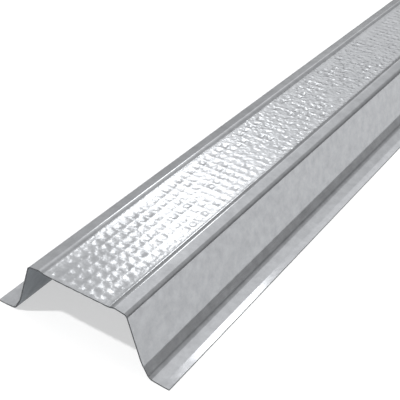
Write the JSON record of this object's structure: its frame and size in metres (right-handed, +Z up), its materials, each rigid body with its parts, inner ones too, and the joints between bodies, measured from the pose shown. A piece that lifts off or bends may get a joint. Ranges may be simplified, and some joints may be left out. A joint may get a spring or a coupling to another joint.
{
  "type": "hat channel",
  "caption": "Roll-formed galvanised steel hat channel: knurled flat web between sloping legs with outward flanges, for fixing lining boards to a wall or ceiling.",
  "frame": {"origin": "middle of the length, on the centre line, at the level of the flanges' undersides", "axes": "+Y along the stock, +Z up from the flanges towards the web, +X across"},
  "size_m": [0.068, 3, 0.022],
  "materials": {
    "galvanised_steel": "bright hot-dip galvanised sheet, smooth with faint rolling streaks, knurled panel along the web"
  },
  "bodies": {
    "root": {"hat_channel": "galvanised_steel"}
  },
  "joints": []
}
